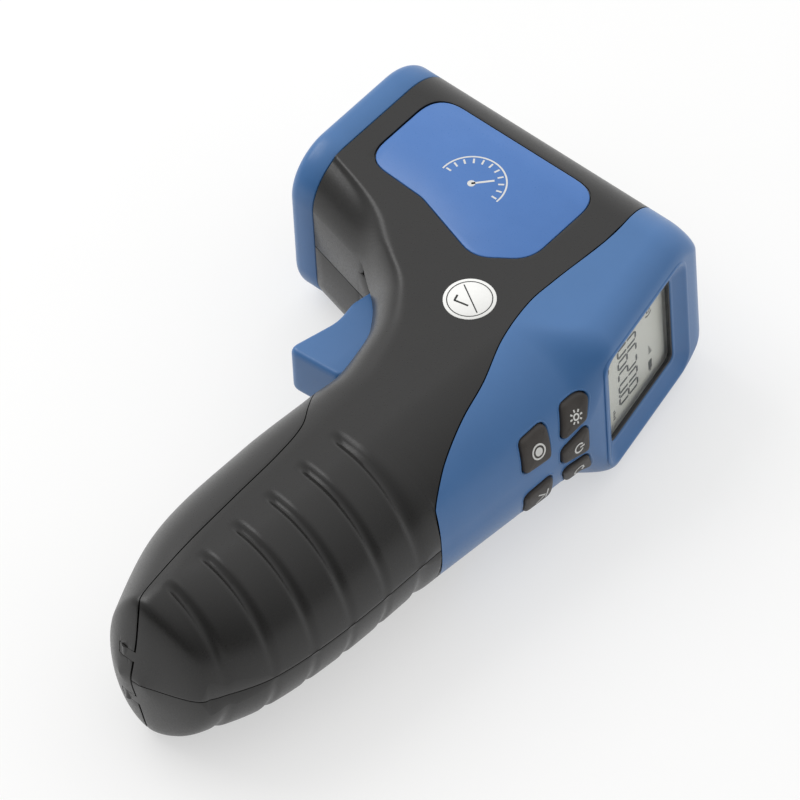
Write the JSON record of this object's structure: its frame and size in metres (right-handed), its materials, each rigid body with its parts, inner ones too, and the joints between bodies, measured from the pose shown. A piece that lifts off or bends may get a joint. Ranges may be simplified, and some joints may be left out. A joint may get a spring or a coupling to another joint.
{
  "type": "laser tachometer",
  "caption": "Pistol-shaped laser tachometer with a blue nose ring and rear housing, black grip halves, trigger, screen, rubber keys and a hinged battery door.",
  "frame": {"origin": "On the flat right side that it lies on, below the axis of the barrel.", "axes": "+X from the nose to the screen, +Y from the handle's tip to the top of the barrel, +Z from the right side up to the left side."},
  "size_m": [0.0959, 0.173, 0.0481],
  "materials": {
    "black_abs": "satin moulded",
    "blue_abs": "satin moulded",
    "tinted_window": "tinted acrylic",
    "black_moulding": "moulded",
    "clear_lens": "polished",
    "brass_tube": "turned",
    "black_epoxy": "moulded",
    "circuit_board": "solder mask",
    "lcd_cell": "polished",
    "white_moulding": "moulded",
    "silicone_pink": "extruded",
    "key_rubber": "moulded",
    "pin_steel": "drawn",
    "screw_steel": "blackened",
    "battery_case": "plain jacket",
    "label_vinyl": "printed film",
    "sticker_paper": "coated paper"
  },
  "bodies": {
    "body": {"left_shell": "black_abs", "right_shell": "black_abs", "rear_housing": "blue_abs", "nose_ring": "blue_abs", "front_window": "tinted_window", "optics_holder": "black_moulding", "receiver_lens": "clear_lens", "laser_module": "brass_tube", "photodiode": "black_epoxy", "sensor_board": "circuit_board", "main_board": "circuit_board", "key_board": "circuit_board", "processor_chip": "black_epoxy", "lcd_window": "clear_lens", "lcd_glass": "lcd_cell", "lcd_frame": "white_moulding", "backlight_panel": "white_moulding", "contact_strips": "silicone_pink", "keypad_sheet": "key_rubber", "door_pin": "pin_steel", "trigger_pin": "pin_steel", "trigger_spring": "pin_steel", "trigger_switch": "black_moulding", "battery_tray": "black_moulding", "battery": "battery_case", "battery_snap": "black_moulding", "case_screws": "screw_steel", "board_screws": "screw_steel", "side_label": "label_vinyl", "round_sticker": "sticker_paper"},
    "trigger_body": {"trigger": "blue_abs"},
    "door_body": {"battery_door": "black_abs"},
    "key_light_body": {"key_light": "key_rubber"},
    "key_power_body": {"key_power": "key_rubber"},
    "key_auto_body": {"key_auto": "key_rubber"},
    "key_record_body": {"key_record": "key_rubber"},
    "key_max_body": {"key_max": "key_rubber"}
  },
  "joints": [
    {"name": "trigger_pull", "type": "hinge", "parent": "body", "child": "trigger_body", "pos_m": [-0.003, -0.0315, 0.024], "axis": [0, 0, 1], "range_deg": [0, 7], "stiffness_Nm_per_rad": 0.8, "deforming": ["trigger_spring"]},
    {"name": "door_swing", "type": "hinge", "parent": "body", "child": "door_body", "pos_m": [0.0176, -0.1469, 0.024], "axis": [0, 0, 1], "range_deg": [0, 80]},
    {"name": "key_light_press", "type": "slide", "parent": "body", "child": "key_light_body", "axis": [-1, 0, 0], "range_m": [0, 0.001], "stiffness_N_per_m": 800},
    {"name": "key_power_press", "type": "slide", "parent": "body", "child": "key_power_body", "axis": [-1, 0, 0], "range_m": [0, 0.001], "stiffness_N_per_m": 800},
    {"name": "key_auto_press", "type": "slide", "parent": "body", "child": "key_auto_body", "axis": [-1, 0, 0], "range_m": [0, 0.001], "stiffness_N_per_m": 800},
    {"name": "key_record_press", "type": "slide", "parent": "body", "child": "key_record_body", "axis": [-1, 0, 0], "range_m": [0, 0.001], "stiffness_N_per_m": 800},
    {"name": "key_max_press", "type": "slide", "parent": "body", "child": "key_max_body", "axis": [-1, 0, 0], "range_m": [0, 0.001], "stiffness_N_per_m": 800}
  ]
}
